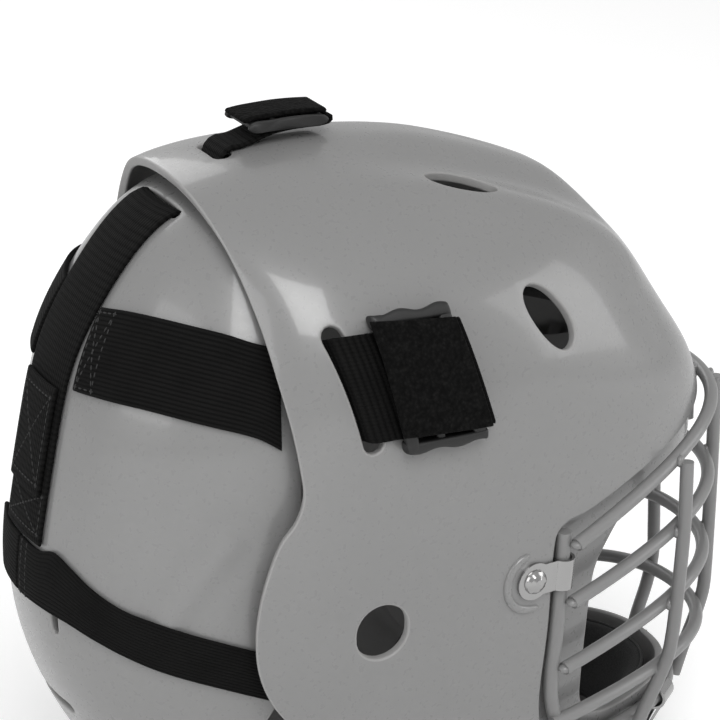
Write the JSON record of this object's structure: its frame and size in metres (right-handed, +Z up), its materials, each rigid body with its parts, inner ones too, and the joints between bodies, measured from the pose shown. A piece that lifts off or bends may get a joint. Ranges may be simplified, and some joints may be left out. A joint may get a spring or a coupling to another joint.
{
  "type": "hockey goalie mask",
  "caption": "Goalie mask: composite half helmet with wire face cage, padded lining, hinged-out back plate, webbing harness and sliders.",
  "frame": {"origin": "middle of the whole object in plan, at the level of the jaw edge it rests on", "axes": "+Z up, -Y towards the face, the wearer's right side at -X"},
  "size_m": [0.2298, 0.3253, 0.3219],
  "materials": {
    "shell": "gloss",
    "cage": "satin",
    "clip": "polished",
    "nut": "brushed",
    "eyelet": "matte",
    "foam": "matte",
    "webbing": "woven",
    "slider": "satin",
    "elastic": "woven",
    "plate": "gloss"
  },
  "bodies": {
    "mask": {"mask_shell": "shell", "brow_wire": "cage", "crossbars": "cage", "uprights": "cage", "cage_frame_rod": "cage", "cage_clips": "clip", "clip_screws": "clip", "clip_nuts": "nut", "lace_eyelets": "eyelet", "forehead_pad": "foam", "crown_pad": "foam", "temple_pad_right": "foam", "temple_pad_left": "foam", "cheek_pad_right": "foam", "cheek_pad_left": "foam", "chin_pad": "foam", "top_strap": "webbing", "top_slider": "slider", "side_slider_right": "slider", "side_slider_left": "slider", "side_strap_right": "webbing", "side_strap_left": "webbing"},
    "rear": {"backplate": "plate", "backplate_pad": "foam", "centre_strap": "webbing", "side_elastic_right": "elastic", "side_elastic_left": "elastic", "lower_strap_right": "elastic", "lower_strap_left": "elastic", "strap_keeper": "elastic"},
    "top_tail": {"top_tail": "webbing"},
    "right_tail": {"side_tail_right": "webbing"},
    "left_tail": {"side_tail_left": "webbing"}
  },
  "joints": [
    {"name": "back_plate_swing", "type": "hinge", "parent": "mask", "child": "rear", "pos_m": [0, 0.0802, 0.297], "axis": [1, 0, 0], "range_deg": [0, 6]},
    {"name": "top_tail_peel", "type": "hinge", "parent": "mask", "child": "top_tail", "pos_m": [0, 0.024, 0.3189], "axis": [1, 0, 0], "range_deg": [0, 100]},
    {"name": "right_tail_peel", "type": "hinge", "parent": "mask", "child": "right_tail", "pos_m": [-0.10632, 0.00371, 0.23417], "axis": [0.2012, 0.2672, 0.9424], "range_deg": [0, 100]},
    {"name": "left_tail_peel", "type": "hinge", "parent": "mask", "child": "left_tail", "pos_m": [0.10632, 0.00371, 0.23417], "axis": [-0.2012, 0.2672, 0.9424], "range_deg": [-100, 0]}
  ]
}
